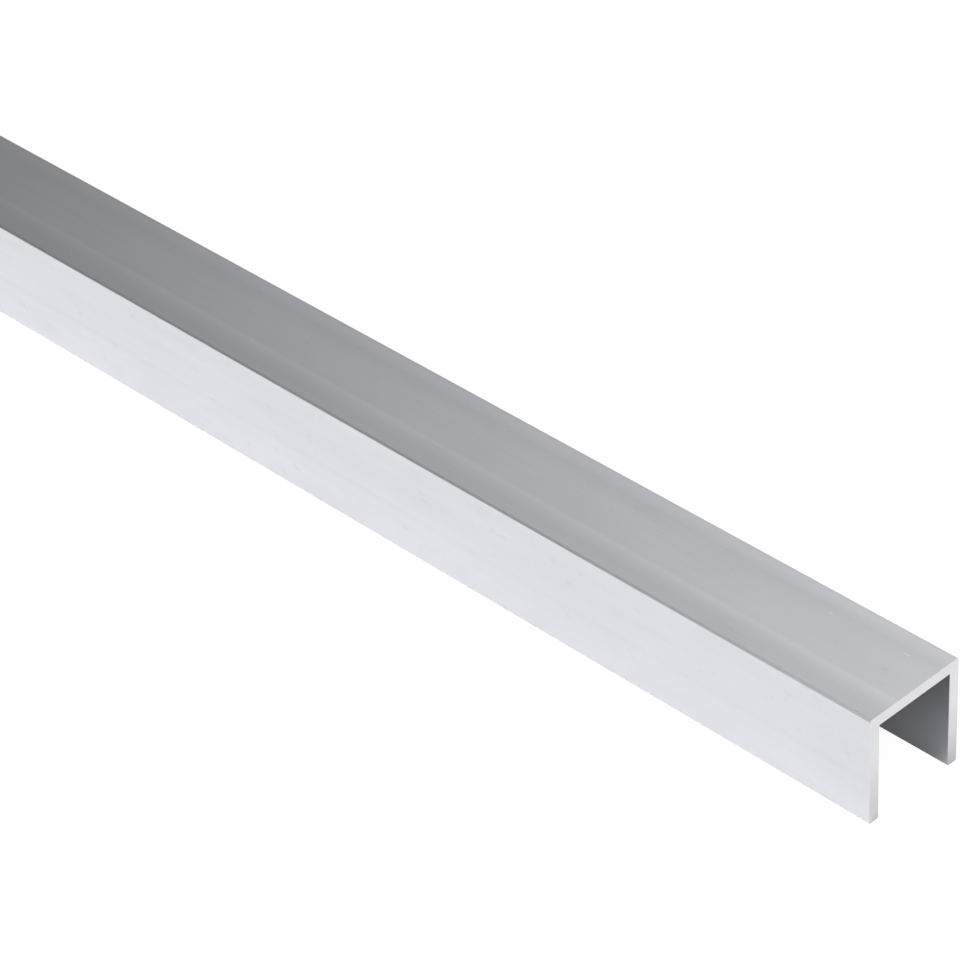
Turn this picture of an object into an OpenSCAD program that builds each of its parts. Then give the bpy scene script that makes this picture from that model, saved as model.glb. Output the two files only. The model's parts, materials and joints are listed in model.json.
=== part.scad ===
// Aluminium U channel with equal legs, extruded in one piece and sawn square
// to length. It lies as it would be laid down: web on top, open side down,
// both leg tips on the floor.
//
//            width
//        |<--------->|
//         ___________    ---
//        |  _______  |    |  web_t at the top
//        | |       | |    |
//        | | slot  | |    |  height
//        |_|       |_|   ---
//
// The length runs along X, the width along Y and the height along Z. The
// origin is midway between the ends and the legs, on the plane of the tips.

/* [Size] */
// Width over the outer faces of the two legs
width = 20; // [10:0.5:100]
// Height from the leg tips to the outer face of the web
height = 20; // [8:0.5:100]
// Length between the sawn ends
length = 1000; // [50:10:6000]

/* [Walls] */
// Thickness of the web
web_t = 2; // [1:0.1:3.5]
// Thickness of each leg
leg_t = 2; // [1:0.1:3.5]

/* [Edges] */
// Radius of the outer corners, where the web turns into a leg
outer_r = 0.4; // [0.1:0.05:0.9]
// Radius of the inner corners, at the bottom of the slot
root_r = 0.2; // [0.1:0.05:1]
// Radius of both edges of each leg's tip
tip_r = 0.3; // [0.1:0.05:0.45]

/* [Hidden] */
$fn = 48;

// Width and depth of the slot between the legs
slot_w = width - 2 * leg_t;
slot_d = height - web_t;
// How far a cut reaches past the face that it opens
overrun = 0.05;

// What rounding to radius r takes off a square corner at the origin, the
// material lying towards +X and +Y.
module corner_scrap(r) {
    difference() {
        translate([-overrun, -overrun])
            square(r + overrun);
        translate([r, r])
            circle(r);
    }
}

// Its children, and their mirror image across the section's middle.
module both_sides() {
    children();
    mirror([1, 0])
        children();
}

// The slot, its two bottom corners rounded.
module slot_section() {
    difference() {
        translate([-slot_w / 2, -overrun])
            square([slot_w, slot_d + overrun]);
        both_sides()
            translate([slot_w / 2, slot_d])
                rotate(180)
                    corner_scrap(root_r);
    }
}

// The cross section, as the die shapes it.
module channel_section() {
    difference() {
        translate([-width / 2, 0])
            square([width, height]);
        slot_section();
        both_sides() {
            translate([width / 2, height])
                rotate(180)
                    corner_scrap(outer_r);
            translate([width / 2, 0])
                rotate(90)
                    corner_scrap(tip_r);
            translate([slot_w / 2, 0])
                corner_scrap(tip_r);
        }
    }
}

// The whole piece: its section drawn out along X and cut square at both ends.
module channel() {
    color("silver")
        rotate([90, 0, 90])
            linear_extrude(length, center = true)
                channel_section();
}

channel();
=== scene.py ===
"""Silver anodised aluminium U channel: one extruded length with two sawn ends.

It lies web up on a table, in a plain studio.
"""

import json
import math

import bmesh
import bpy
from mathutils import Euler, Matrix, Vector


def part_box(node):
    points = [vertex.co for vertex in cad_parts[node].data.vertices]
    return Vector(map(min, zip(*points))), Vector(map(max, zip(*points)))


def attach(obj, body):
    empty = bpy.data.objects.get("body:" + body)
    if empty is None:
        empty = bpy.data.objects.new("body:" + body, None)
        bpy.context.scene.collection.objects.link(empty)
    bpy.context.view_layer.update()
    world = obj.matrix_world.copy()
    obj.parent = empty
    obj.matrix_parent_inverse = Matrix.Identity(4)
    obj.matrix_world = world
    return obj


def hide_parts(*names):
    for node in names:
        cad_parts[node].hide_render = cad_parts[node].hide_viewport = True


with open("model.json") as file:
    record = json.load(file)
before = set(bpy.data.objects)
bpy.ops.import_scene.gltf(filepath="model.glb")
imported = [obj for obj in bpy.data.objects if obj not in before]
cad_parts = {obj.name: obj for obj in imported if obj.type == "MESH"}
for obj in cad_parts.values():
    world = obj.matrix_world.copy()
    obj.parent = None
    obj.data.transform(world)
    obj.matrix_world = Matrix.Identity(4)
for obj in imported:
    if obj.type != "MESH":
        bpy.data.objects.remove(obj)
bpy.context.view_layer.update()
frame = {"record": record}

bl_info = {
    "name": "Aluminium U channel",
    "version": (1, 0, 0),
    "blender": (4, 5, 0),
    "location": "3D View > Sidebar > Channel",
    "description": "Builds an extruded aluminium U channel with sawn ends, and a plain studio round it",
    "category": "Add Mesh",
}

MM = 0.001
MICROMETRES = 1e6  # in a metre
SENSOR = 36  # width of the camera's sensor in millimetres
NODE = "channel"
BODY = "root"
RUB = "rub"  # the attribute that says where handling rubs the skin
MAP = "OFBake"  # the UV map that the export bakes into

LOW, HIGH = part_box(NODE)
SPAN = HIGH - LOW
FACES = {mount["name"]: Vector(mount["pos_m"]) for mount in frame["record"]["mounts"]}


def linear(hex_colour):
    """An sRGB colour such as "#d9dbde" as linear red, green and blue, by the standard's own curve."""
    shares = [int(hex_colour[i : i + 2], 16) / 255 for i in (1, 3, 5)]
    return tuple(s / 12.92 if s <= 0.04045 else ((s + 0.055) / 1.055) ** 2.4 for s in shares)


def colour_property(name, description, hex_colour):
    return bpy.props.FloatVectorProperty(
        name=name,
        description=description,
        default=linear(hex_colour),
        subtype="COLOR",
        min=0,
        max=1,
    )


def length_property(name, description, default):
    return bpy.props.FloatProperty(
        name=name,
        description=description,
        default=default,
        min=0,
        unit="LENGTH",
        precision=5,
    )


def angle_property(name, description, degrees):
    return bpy.props.FloatProperty(
        name=name,
        description=description,
        default=math.radians(degrees),
        unit="ROTATION",
    )


def direction_property(name, description, default):
    return bpy.props.FloatVectorProperty(
        name=name,
        description=description,
        default=default,
        subtype="DIRECTION",
    )


def number_property(name, description, default):
    return bpy.props.FloatProperty(name=name, description=description, default=default, min=0)


class ChannelSizes(bpy.types.PropertyGroup):
    """The section's walls and edges. The overall size is the frame's."""

    web: length_property(
        "Web thickness",
        "Thickness of the top wall",
        FACES["web_face"].z - FACES["slot_floor"].z,
    )
    leg: length_property(
        "Leg thickness",
        "Thickness of each side wall",
        FACES["leg_face_plus_y"].y - FACES["slot_wall_plus_y"].y,
    )
    outer_radius: length_property(
        "Outer radius", "Radius of the arrises between web and legs", 0.4 * MM
    )
    root_radius: length_property(
        "Root radius", "Radius of the corners inside the slot", 0.2 * MM
    )
    tip_radius: length_property(
        "Tip radius", "Radius of both edges of each leg's tip", 0.3 * MM
    )
    deburr: length_property(
        "Deburred rim", "Width of the bevel that a file leaves round a sawn end", 0.07 * MM
    )


class ChannelFinish(bpy.types.PropertyGroup):
    """The colours of the metal."""

    skin: colour_property("Skin", "Satin anodised skin at its brightest", "#e8e9ed")
    dull: colour_property("Dull skin", "Satin anodised skin at its dullest", "#c1c2c6")
    rubbed: colour_property("Rubbed skin", "The skin where handling has polished it", "#ebebee")
    sawn: colour_property("Sawn metal", "Bare metal on the sawn ends", "#dddde0")
    # painted shade: the sawn ends are also darkened towards this colour lower down the legs
    saw_mark_and_shade: colour_property("Saw marks", "The grooves that the saw's teeth leave", "#cdcdd1")


class StudioSettings(bpy.types.PropertyGroup):
    """Table, lights and camera."""

    table: colour_property("Table", "Colour of the table", "#e0e0e0")
    whiteness: number_property(
        "Table whiteness", "How far the camera sees the table as evenly white, from 0 to 1", 0.93
    )
    softbox: direction_property(
        "Softbox", "Way to the brightest part of the softbox dome", (0.6, 0.6, 0.5)
    )
    softbox_strength: number_property("Softbox strength", "Brightness of the softbox dome", 1.0)
    fill: direction_property("Fill", "Way to the fill light", (-0.05, -0.6, 0.8))
    fill_strength: number_property(
        "Fill strength", "What the fill throws on a surface that faces it, in W/m2", 3.2
    )
    fill_spread: angle_property("Fill spread", "How wide the fill light looks", 24)
    lens: bpy.props.FloatProperty(
        name="Lens",
        description=f"Focal length for a {SENSOR} mm sensor, in millimetres",
        default=142.43,
        min=1,
        unit="CAMERA",
    )
    aim_inset: length_property(
        "Aim inset", "How far in from the sawn end the camera aims", 93.75 * MM
    )
    aim_side: length_property(
        "Aim side", "How far beside the channel's middle the camera aims", 2.31 * MM
    )
    distance: length_property("Camera distance", "From the camera to its aim", 629.3 * MM)
    azimuth: angle_property(
        "Azimuth", "Turn of the camera round the channel, 0 looking along +Y", 47.66
    )
    elevation: angle_property("Elevation", "Height of the camera above the horizon", 36.30)
    roll: angle_property("Roll", "Tilt of the camera about its own axis", -3.56)


# Materials

MIX_A, MIX_B, MIX_RESULT = 6, 7, 2  # a Mix node's colour sockets, whose names other sockets have too


def add_node(tree, kind, sockets=None, **settings):
    """Adds a node with its settings. sockets gives a value or another node's output for each input."""
    node = tree.nodes.new(kind)
    for name, value in settings.items():
        setattr(node, name, value)
    for socket, value in (sockets or {}).items():
        if isinstance(value, bpy.types.NodeSocket):
            tree.links.new(value, node.inputs[socket])
        else:
            node.inputs[socket].default_value = value
    return node


def empty_material(name):
    material = bpy.data.materials.new(name)
    material.use_nodes = True
    material.node_tree.nodes.clear()
    return material, material.node_tree


def grain(tree, place, along, across, tilt=0.0, detail=2.0, start=0.0, full=1.0):
    """Noise whose patches have these lengths along the channel and across it.

    It is 0 where the noise is under start, and 1 where it is over full.
    """
    drawn = add_node(
        tree,
        "ShaderNodeMapping",
        {
            "Vector": place,
            "Rotation": (tilt, tilt, tilt),
            "Scale": (1 / along, 1 / across, 1 / across),
        },
    )
    noise = add_node(
        tree,
        "ShaderNodeTexNoise",
        {"Vector": drawn.outputs[0], "Scale": 1.0, "Detail": detail},
    )
    return add_node(
        tree,
        "ShaderNodeMapRange",
        {"Value": noise.outputs["Fac"], "From Min": start, "From Max": full},
    ).outputs[0]


def weighed(tree, parts, start=0.0):
    """The sum of each (value, weight), on top of start."""
    total = start
    for value, weight in parts:
        total = add_node(
            tree,
            "ShaderNodeMath",
            {0: value, 1: weight, 2: total},
            operation="MULTIPLY_ADD",
        ).outputs[0]
    return total


# How dull the web is across its width, as (mm from the middle, 0 to 1). The metal over each leg flows
# through the die more slowly than the rest and comes out apart from it. Over the leg at -Y it is dull
# behind a bright line, and over the leg at +Y it is bright behind a dull line. The first and last values
# are those of the legs' faces.
WEB_BANDS = (
    (-10.0, 0.45),
    (-9.8, 0.60),
    (-9.5, 0.63),
    (-9.1, 0.64),
    (-8.0, 0.65),
    (-7.0, 0.62),
    (-6.0, 0.54),
    (-5.0, 0.38),
    (-4.5, 0.28),
    (-4.0, 0.25),
    (-3.4, 0.42),
    (4.0, 0.44),
    (6.2, 0.56),
    (7.0, 0.51),
    (7.8, 0.40),
    (9.0, 0.32),
    (10.0, 0.45),
)


def extruded_aluminium(finish):
    """6060 aluminium, extruded, satin etched and silver anodised.

    The die leaves fine lines down the whole length and broader bands of duller and brighter metal. The
    etch blurs what the surface reflects and leaves it faintly cloudy. Handling adds stains, specks and
    hairlines and polishes the arrises. The real lines are finer than 0.1 mm and are drawn wider, so that
    they show.
    """
    bright_roughness = 0.30
    line_depth = 0.0012 * MM
    material, tree = empty_material("silver_anodised_extruded_aluminium")
    place = add_node(tree, "ShaderNodeTexCoord").outputs["Object"]
    die_lines = grain(tree, place, along=500 * MM, across=0.4 * MM)
    streaks = grain(tree, place, along=900 * MM, across=2.5 * MM)
    clouds = grain(tree, place, along=20 * MM, across=7 * MM, detail=3.0)
    stains = grain(
        tree, place, along=3.0 * MM, across=1.8 * MM, detail=1.0, start=0.68, full=0.86
    )
    specks = grain(
        tree, place, along=1.0 * MM, across=0.7 * MM, detail=0.0, start=0.84, full=0.94
    )
    hairlines = grain(
        tree,
        place,
        along=24 * MM,
        across=0.16 * MM,
        tilt=math.radians(3),
        detail=0.0,
        start=0.82,
        full=0.90,
    )

    side = add_node(tree, "ShaderNodeSeparateXYZ", {"Vector": place}).outputs["Y"]
    across = add_node(
        tree, "ShaderNodeMapRange", {"Value": side, "From Min": LOW.y, "From Max": HIGH.y}
    ).outputs[0]
    bands = add_node(tree, "ShaderNodeValToRGB", {"Fac": across})
    elements = bands.color_ramp.elements
    while len(elements) < len(WEB_BANDS):
        elements.new(0.5)  # each gets its own place below
    for element, (mm, band_dullness) in zip(elements, WEB_BANDS):
        element.position = (mm * MM - LOW.y) / SPAN.y
        element.color = (band_dullness, band_dullness, band_dullness, 1)

    patterns = ((die_lines, 0.12), (streaks, 0.20), (clouds, 0.25))
    average = sum(weight for _, weight in patterns) / 2  # of what they add, as noise is about half
    dullness = weighed(
        tree, ((bands.outputs["Color"], 1.0), *patterns, (stains, 0.20)), start=-average
    )
    stands_out = add_node(tree, "ShaderNodeAttribute", attribute_name=RUB).outputs["Fac"]
    handled = grain(tree, place, along=35 * MM, across=1.5 * MM, start=0.40, full=0.65)
    rubbed = add_node(
        tree, "ShaderNodeMath", {0: stands_out, 1: handled}, operation="MULTIPLY"
    ).outputs[0]
    bright = weighed(tree, ((rubbed, 0.7), (specks, 0.9), (hairlines, 0.35)))
    colour = add_node(
        tree,
        "ShaderNodeMix",
        {"Factor": dullness, MIX_A: (*finish.skin, 1), MIX_B: (*finish.dull, 1)},
        data_type="RGBA",
    )
    worn = add_node(
        tree,
        "ShaderNodeMix",
        {"Factor": bright, MIX_A: colour.outputs[MIX_RESULT], MIX_B: (*finish.rubbed, 1)},
        data_type="RGBA",
    )
    roughness = weighed(tree, ((dullness, 0.06), (rubbed, -0.03)), start=bright_roughness)
    relief = weighed(tree, ((die_lines, 1.0), (hairlines, -1.0), (specks, -1.0)))
    bump = add_node(
        tree,
        "ShaderNodeBump",
        {"Height": relief, "Strength": 1.0, "Distance": line_depth},
    )
    shader = add_node(
        tree,
        "ShaderNodeBsdfPrincipled",
        {
            "Base Color": worn.outputs[MIX_RESULT],
            "Metallic": 1.0,
            "Roughness": roughness,
            "Normal": bump.outputs[0],
        },
    )
    add_node(tree, "ShaderNodeOutputMaterial", {"Surface": shader.outputs[0]})
    return material


def sawn_aluminium(finish):
    """6060 aluminium cut with a carbide circular saw and deburred with a file.

    It is bare, and the teeth leave faint arcs round the blade's hub across it. Lower down the legs its
    colour is
    painted darker: painted shade for the table's shadow that the end reflects near the floor. The real arcs
    are about
    0.1 mm apart and are drawn wider, so that they show.
    """
    pitch = 0.6 * MM
    hub = Vector((0, 130 * MM, 160 * MM))
    wave_length = 2 * math.pi / 20  # of the Wave node's rings at scale 1
    # painted shade: below this height the sawn end is painted darker towards the floor
    shaded_below = 0.6 * SPAN.z
    too_faint = 0.20  # marks weaker than this don't show
    clean_roughness = 0.34
    groove_depth = 0.0005 * MM
    material, tree = empty_material("sawn_aluminium")
    place = add_node(tree, "ShaderNodeTexCoord").outputs["Object"]
    from_hub = add_node(tree, "ShaderNodeMapping", {"Vector": place, "Location": -hub})
    arcs = add_node(
        tree,
        "ShaderNodeTexWave",
        {
            "Vector": from_hub.outputs[0],
            "Scale": wave_length / pitch,
            "Distortion": 3.0,
            "Detail": 2.0,
            "Detail Scale": 0.6,
        },
        wave_type="RINGS",
        rings_direction="X",
    ).outputs["Fac"]
    clouds = grain(tree, place, along=4 * MM, across=4 * MM)
    height = add_node(tree, "ShaderNodeSeparateXYZ", {"Vector": place}).outputs["Z"]
    # painted shade, darkest at the floor, for the table's shadow that the end reflects there
    shade_to_tips = add_node(
        tree, "ShaderNodeMapRange", {"Value": height, "From Min": shaded_below, "From Max": 0.0}
    ).outputs[0]
    marks_and_shade = weighed(tree, ((arcs, 0.12), (clouds, 0.6), (shade_to_tips, 0.8)), start=-too_faint)
    # the saw's grooves and clouds, and the painted shade lower down the legs, all darken the colour
    colour = add_node(
        tree,
        "ShaderNodeMix",
        {"Factor": marks_and_shade, MIX_A: (*finish.sawn, 1), MIX_B: (*finish.saw_mark_and_shade, 1)},
        data_type="RGBA",
    )
    roughness = weighed(tree, ((marks_and_shade, 0.10),), start=clean_roughness)
    bump = add_node(
        tree,
        "ShaderNodeBump",
        {"Height": arcs, "Strength": 1.0, "Distance": groove_depth},
    )
    shader = add_node(
        tree,
        "ShaderNodeBsdfPrincipled",
        {
            "Base Color": colour.outputs[MIX_RESULT],
            "Metallic": 1.0,
            "Roughness": roughness,
            "Normal": bump.outputs[0],
        },
    )
    add_node(tree, "ShaderNodeOutputMaterial", {"Surface": shader.outputs[0]})
    return material


# The channel

ALONG_X = 0.999  # least X part of a unit vector that lies along X
OFF_SKIN = 0.01  # least X part of the normal of a face that the die didn't make
SAME_HEIGHT = 0.01 * MM  # most that two points at one height differ by


def lies_along_x(edge):
    along = (edge.verts[1].co - edge.verts[0].co).normalized()
    return abs(along.x) > ALONG_X


def is_end(face):
    return abs(face.normal.x) > ALONG_X


def is_cut(face):
    """Whether the saw or the file made this face: an end or its rim."""
    return abs(face.normal.x) > OFF_SKIN


def round_edges(bm, edges, radius, segments):
    bmesh.ops.bevel(
        bm,
        geom=edges,
        offset=radius,
        offset_type="OFFSET",
        affect="EDGES",
        segments=segments,
        profile=0.5,
        material=-1,
        clamp_overlap=True,
    )


def draw_channel(sizes):
    """The channel as a bmesh: its U outline drawn out along X, its edges rounded as the die leaves them."""
    bm = bmesh.new()
    slot_low, slot_high = LOW.y + sizes.leg, HIGH.y - sizes.leg
    slot_top = HIGH.z - sizes.web
    outline = [
        (slot_low, LOW.z),
        (slot_low, slot_top),
        (slot_high, slot_top),
        (slot_high, LOW.z),
        (HIGH.y, LOW.z),
        (HIGH.y, HIGH.z),
        (LOW.y, HIGH.z),
        (LOW.y, LOW.z),
    ]
    corners = [bm.verts.new((LOW.x, y, z)) for y, z in outline]
    drawn = bmesh.ops.extrude_face_region(bm, geom=[bm.faces.new(corners)])
    far = [part for part in drawn["geom"] if isinstance(part, bmesh.types.BMVert)]
    bmesh.ops.translate(bm, verts=far, vec=(SPAN.x, 0, 0))
    bmesh.ops.recalc_face_normals(bm, faces=bm.faces)

    # each row is the height of some edges, their radius and how many flats draw it
    rounds = (
        (HIGH.z, sizes.outer_radius, 8),
        (slot_top, sizes.root_radius, 5),
        (LOW.z, sizes.tip_radius, 6),
    )
    for height, radius, segments in rounds:
        edges = [
            edge
            for edge in bm.edges
            if lies_along_x(edge)
            and all(abs(vert.co.z - height) < SAME_HEIGHT for vert in edge.verts)
        ]
        round_edges(bm, edges, radius, segments)
    return bm


def spot(place):
    """A point's place on the section, to the nearest micrometre."""
    return round(place.y * MICROMETRES), round(place.z * MICROMETRES)


def measure_round(bm):
    """How far round the section each point of the outline is from the first, and the whole way round."""
    end = next(face for face in bm.faces if is_end(face))
    way, gone = {}, 0.0
    for loop in end.loops:
        way[spot(loop.vert.co)] = gone
        gone += (loop.link_loop_next.vert.co - loop.vert.co).length
    return way, gone


def unroll(bm, way, girth):
    """Lays the skin out on one map, length along U and way round along V, with both ends above it."""
    skin_share, end_low, end_share = 0.80, 0.83, 0.15
    end_margin, end_width, end_step = 0.02, 0.46, 0.5
    uv = bm.loops.layers.uv.new(MAP)
    for face in bm.faces:
        if is_cut(face):
            left = end_margin + (end_step if face.normal.x > 0 else 0)
            for loop in face.loops:
                part = loop.vert.co - LOW
                loop[uv].uv = (
                    left + end_width * part.y / SPAN.y,
                    end_low + end_share * part.z / SPAN.z,
                )
            continue
        rounds = [way[spot(loop.vert.co)] for loop in face.loops]
        closes = max(rounds) - min(rounds) > girth / 2
        for loop, gone in zip(face.loops, rounds):
            full = girth if closes and gone == 0 else gone
            loop[uv].uv = ((loop.vert.co.x - LOW.x) / SPAN.x, skin_share * full / girth)


def mark_rubbed(bm):
    """Gives each vertex how far it stands out: 0 on a flat face or in a root, 1 on an arris's crown."""
    crown = 1 - math.sqrt(0.5)  # the lean of a normal halfway round a square arris
    rub = bm.verts.layers.float.new(RUB)
    bm.normal_update()
    for vert in bm.verts:
        stands_out = all(edge.is_convex for edge in vert.link_edges)
        lean = 1 - max(abs(part) for part in vert.normal)
        vert[rub] = min(lean / crown, 1) if stands_out else 0


class CHANNEL_OT_profile(bpy.types.Operator):
    """Builds the channel with its extruded skin and sawn ends"""

    bl_idname = "channel.profile"
    bl_label = "Channel"

    def execute(self, context):
        rim_flats = 2
        large_faces_lead = 100  # the most on the modifier's scale
        sizes, finish = context.scene.channel_sizes, context.scene.channel_finish
        bm = draw_channel(sizes)
        way, girth = measure_round(bm)
        rims = [edge for edge in bm.edges if any(is_end(face) for face in edge.link_faces)]
        round_edges(bm, rims, sizes.deburr, rim_flats)
        mark_rubbed(bm)
        unroll(bm, way, girth)
        for face in bm.faces:
            face.smooth = True
            face.material_index = 1 if is_cut(face) else 0
        mesh = bpy.data.meshes.new("u_channel")
        bm.to_mesh(mesh)
        bm.free()
        mesh.materials.append(extruded_aluminium(finish))
        mesh.materials.append(sawn_aluminium(finish))
        channel = bpy.data.objects.new("u_channel", mesh)
        context.collection.objects.link(channel)
        channel.modifiers.new("flat faces stay flat", "WEIGHTED_NORMAL").weight = large_faces_lead
        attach(channel, BODY)
        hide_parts(NODE)
        return {"FINISHED"}


# The stage


def table(studio):
    """A matt table, kept near white in the channel's soft shadow by a glow that only the camera sees."""
    reach = 60  # metres from the middle to each side
    glow_strength = 1.05
    bm = bmesh.new()
    bmesh.ops.create_grid(bm, x_segments=1, y_segments=1, size=reach)
    mesh = bpy.data.meshes.new("table")
    bm.to_mesh(mesh)
    bm.free()
    material, tree = empty_material("white_laminate")
    matt = add_node(tree, "ShaderNodeBsdfDiffuse", {"Color": (*studio.table, 1)})
    glow = add_node(tree, "ShaderNodeEmission", {"Color": (1, 1, 1, 1), "Strength": glow_strength})
    to_camera = add_node(tree, "ShaderNodeLightPath").outputs["Is Camera Ray"]
    share = weighed(tree, ((to_camera, studio.whiteness),))
    both = add_node(
        tree, "ShaderNodeMixShader", {"Fac": share, 1: matt.outputs[0], 2: glow.outputs[0]}
    )
    add_node(tree, "ShaderNodeOutputMaterial", {"Surface": both.outputs[0]})
    mesh.materials.append(material)
    top = bpy.data.objects.new("table", mesh)
    bpy.context.collection.objects.link(top)


def dome(studio):
    """A softbox dome: it brightens evenly from one side to the other, and the camera sees it white."""
    dim_at, bright_at = 0.055, 0.47  # as the cosine from the way to the brightest part
    dim, bright = 0.06, 1.0
    world = bpy.data.worlds.new("softbox_dome")
    world.use_nodes = True
    tree = world.node_tree
    tree.nodes.clear()
    way = add_node(tree, "ShaderNodeTexCoord").outputs["Generated"]
    facing = add_node(
        tree,
        "ShaderNodeVectorMath",
        {0: way, 1: Vector(studio.softbox).normalized()},
        operation="DOT_PRODUCT",
    ).outputs["Value"]
    shade = add_node(
        tree,
        "ShaderNodeMapRange",
        {
            "Value": facing,
            "From Min": dim_at,
            "From Max": bright_at,
            "To Min": dim,
            "To Max": bright,
        },
    ).outputs[0]
    brightness = weighed(tree, ((shade, studio.softbox_strength),))
    light = add_node(
        tree, "ShaderNodeBackground", {"Color": (1, 1, 1, 1), "Strength": brightness}
    )
    backdrop = add_node(tree, "ShaderNodeBackground", {"Color": (1, 1, 1, 1)})
    to_camera = add_node(tree, "ShaderNodeLightPath").outputs["Is Camera Ray"]
    both = add_node(
        tree,
        "ShaderNodeMixShader",
        {"Fac": to_camera, 1: light.outputs[0], 2: backdrop.outputs[0]},
    )
    add_node(tree, "ShaderNodeOutputWorld", {"Surface": both.outputs[0]})
    bpy.context.scene.world = world


def fill_light(studio):
    """A broad fill light from -Y, which lights the table and drops the channel's shadow on its +Y side."""
    data = bpy.data.lights.new("fill", "SUN")
    data.energy = studio.fill_strength
    data.angle = studio.fill_spread
    lamp = bpy.data.objects.new("fill", data)
    lamp.rotation_mode = "QUATERNION"
    lamp.rotation_quaternion = Vector(studio.fill).to_track_quat("Z", "Y")
    bpy.context.collection.objects.link(lamp)


def camera(studio):
    """A camera that looks down at the +X end of the channel."""
    level = math.pi / 2  # the turn that points a new camera, which looks down, at the horizon
    data = bpy.data.cameras.new("camera")
    data.lens = studio.lens
    data.sensor_width = SENSOR
    data.clip_end = 100  # metres
    aim = Vector((HIGH.x - studio.aim_inset, studio.aim_side, (LOW.z + HIGH.z) / 2))
    turn = Euler((level - studio.elevation, 0, studio.azimuth)).to_matrix()
    spin = Matrix.Rotation(studio.roll, 3, "Z")
    eye = bpy.data.objects.new("camera", data)
    eye.matrix_world = (
        Matrix.Translation(aim + turn.col[2] * studio.distance) @ (turn @ spin).to_4x4()
    )
    bpy.context.collection.objects.link(eye)
    bpy.context.scene.camera = eye


class CHANNEL_OT_studio(bpy.types.Operator):
    """Builds the table, the lights and the camera"""

    bl_idname = "channel.studio"
    bl_label = "Studio"

    def execute(self, context):
        studio = context.scene.channel_studio
        table(studio)
        dome(studio)
        fill_light(studio)
        camera(studio)
        context.scene.view_settings.view_transform = "Standard"
        return {"FINISHED"}


class CHANNEL_PT_sidebar(bpy.types.Panel):
    """Lists the operators"""

    bl_label = "Channel"
    bl_idname = "CHANNEL_PT_sidebar"
    bl_space_type = "VIEW_3D"
    bl_region_type = "UI"
    bl_category = "Channel"

    def draw(self, context):
        for operator in OPERATORS:
            self.layout.operator(operator.bl_idname)


GROUPS = {
    "channel_sizes": ChannelSizes,
    "channel_finish": ChannelFinish,
    "channel_studio": StudioSettings,
}
OPERATORS = (CHANNEL_OT_profile, CHANNEL_OT_studio)


def register():
    for cls in (*GROUPS.values(), *OPERATORS, CHANNEL_PT_sidebar):
        bpy.utils.register_class(cls)
    for name, group in GROUPS.items():
        setattr(bpy.types.Scene, name, bpy.props.PointerProperty(type=group))


def unregister():
    for name in GROUPS:
        delattr(bpy.types.Scene, name)
    for cls in (CHANNEL_PT_sidebar, *OPERATORS, *GROUPS.values()):
        bpy.utils.unregister_class(cls)


def main():
    register()
    bpy.ops.channel.profile()
    bpy.ops.channel.studio()


if __name__ == "__main__":
    main()
